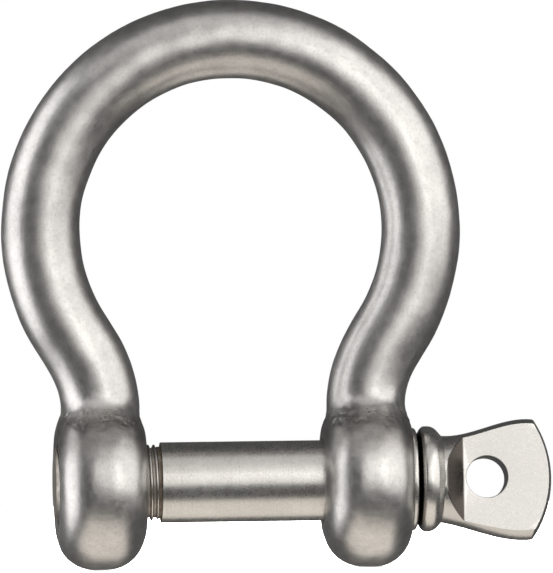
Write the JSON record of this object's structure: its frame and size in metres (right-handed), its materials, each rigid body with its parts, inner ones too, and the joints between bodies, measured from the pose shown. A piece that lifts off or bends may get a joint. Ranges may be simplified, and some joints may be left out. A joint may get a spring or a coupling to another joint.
{
  "type": "bow shackle",
  "caption": "Screw-pin bow shackle: a round-bar bow with two ears, closed by a threaded pin with a collar and a flattened eye head.",
  "frame": {"origin": "on the pin's axis, midway between the inner faces of the two ears", "axes": "+X along the pin towards its eye head, +Y through the bow, +Z from the pin towards the crown of the bow"},
  "size_m": [0.0703, 0.0224, 0.0729],
  "materials": {
    "bow_steel": "blasted satin stainless steel",
    "pin_steel": "turned and ground stainless steel"
  },
  "bodies": {
    "bow": {"bow_body": "bow_steel"},
    "pin_carrier": {"pin_core": "pin_steel"},
    "pin": {"screw_pin": "pin_steel"}
  },
  "joints": [
    {"name": "pin_advance", "type": "slide", "parent": "bow", "child": "pin_carrier", "axis": [1, 0, 0], "range_m": [0, 0.03525]},
    {"name": "pin_turn", "type": "hinge", "parent": "pin_carrier", "child": "pin", "pos_m": [0, 0, 0], "axis": [1, 0, 0], "range_deg": [0, 16920]}
  ],
  "couplings": [
    {"joint": "pin_turn", "follows": "pin_advance", "rad_per_m": 8377.6}
  ]
}
